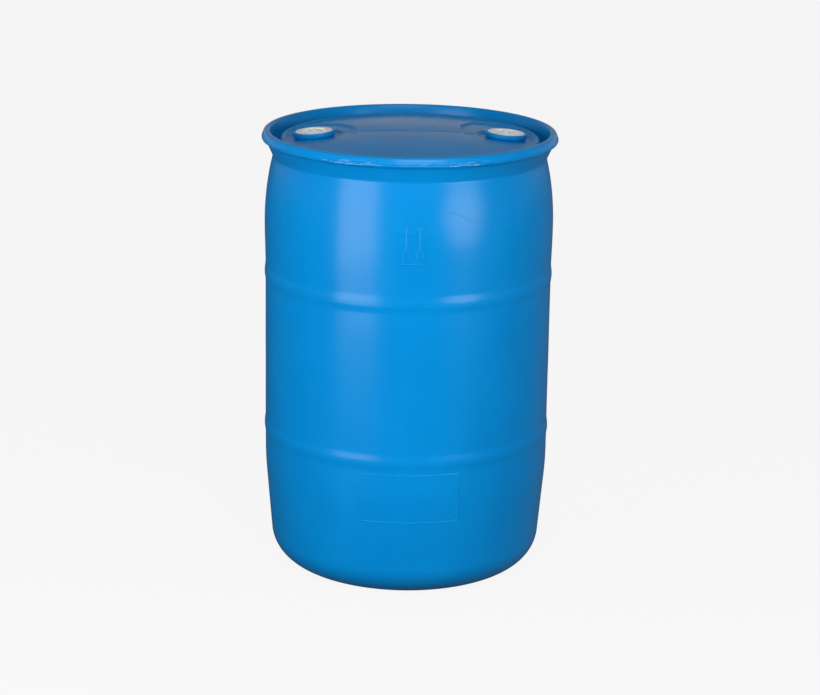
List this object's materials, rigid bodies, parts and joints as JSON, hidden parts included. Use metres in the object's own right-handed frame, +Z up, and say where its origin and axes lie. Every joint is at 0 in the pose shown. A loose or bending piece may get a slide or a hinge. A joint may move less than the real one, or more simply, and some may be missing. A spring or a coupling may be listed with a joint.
{
  "type": "tight-head plastic drum",
  "caption": "Closed-head blow-moulded plastic drum with a moulded handling ring, a domed head with wells, and threaded bungs with reducer plugs.",
  "frame": {"origin": "centre of the base, on the ground plane that the foot ring rests on", "axes": "+Z up the drum's axis; -Y towards the front with the arrows and the marking panel; the buttress-thread bung at -X, the pipe-thread bung at +X"},
  "size_m": [0.588, 0.588, 0.889],
  "materials": {
    "drum_blue": "satin, natural high-density polyethylene sheen",
    "bung_white": "satin, off-white",
    "gasket_black": "matt"
  },
  "bodies": {
    "drum": {"drum_base": "drum_blue", "drum_foot": "drum_blue", "drum_barrel": "drum_blue", "drum_shoulder": "drum_blue", "drum_head": "drum_blue", "buttress_neck": "drum_blue", "pipe_neck": "drum_blue"},
    "buttress_seal": {"buttress_bung_gasket": "gasket_black"},
    "buttress_bung": {"buttress_bung": "bung_white"},
    "buttress_reducer_seal": {"buttress_reducer_gasket": "gasket_black"},
    "buttress_reducer": {"buttress_reducer_plug": "bung_white"},
    "pipe_seal": {"pipe_bung_gasket": "gasket_black"},
    "pipe_bung": {"pipe_bung": "bung_white"},
    "pipe_reducer_seal": {"pipe_reducer_gasket": "gasket_black"},
    "pipe_reducer": {"pipe_reducer_plug": "bung_white"}
  },
  "joints": [
    {"name": "buttress_bung_lift", "type": "slide", "parent": "drum", "child": "buttress_seal", "axis": [-0.0739, 0, 0.9973], "range_m": [0, 0.0342]},
    {"name": "buttress_bung_turn", "type": "hinge", "parent": "buttress_seal", "child": "buttress_bung", "pos_m": [-0.189, 0, 0.8724], "axis": [-0.0739, 0, 0.9973], "range_deg": [0, 3060]},
    {"name": "buttress_reducer_lift", "type": "slide", "parent": "buttress_bung", "child": "buttress_reducer_seal", "axis": [-0.0739, 0, 0.9973], "range_m": [0, 0.0202]},
    {"name": "buttress_reducer_turn", "type": "hinge", "parent": "buttress_reducer_seal", "child": "buttress_reducer", "pos_m": [-0.189, 0, 0.8724], "axis": [-0.0739, 0, 0.9973], "range_deg": [0, 3960]},
    {"name": "pipe_bung_lift", "type": "slide", "parent": "drum", "child": "pipe_seal", "axis": [0.0739, 0, 0.9973], "range_m": [0, 0.0342]},
    {"name": "pipe_bung_turn", "type": "hinge", "parent": "pipe_seal", "child": "pipe_bung", "pos_m": [0.189, 0, 0.8724], "axis": [0.0739, 0, 0.9973], "range_deg": [0, 5490]},
    {"name": "pipe_reducer_lift", "type": "slide", "parent": "pipe_bung", "child": "pipe_reducer_seal", "axis": [0.0739, 0, 0.9973], "range_m": [0, 0.0202]},
    {"name": "pipe_reducer_turn", "type": "hinge", "parent": "pipe_reducer_seal", "child": "pipe_reducer", "pos_m": [0.189, 0, 0.8724], "axis": [0.0739, 0, 0.9973], "range_deg": [0, 3960]}
  ],
  "couplings": [
    {"joint": "buttress_bung_lift", "follows": "buttress_bung_turn", "m_per_rad": 0.00063662},
    {"joint": "buttress_reducer_lift", "follows": "buttress_reducer_turn", "m_per_rad": 0.00028875},
    {"joint": "pipe_bung_lift", "follows": "pipe_bung_turn", "m_per_rad": 0.00035152},
    {"joint": "pipe_reducer_lift", "follows": "pipe_reducer_turn", "m_per_rad": 0.00028875}
  ]
}
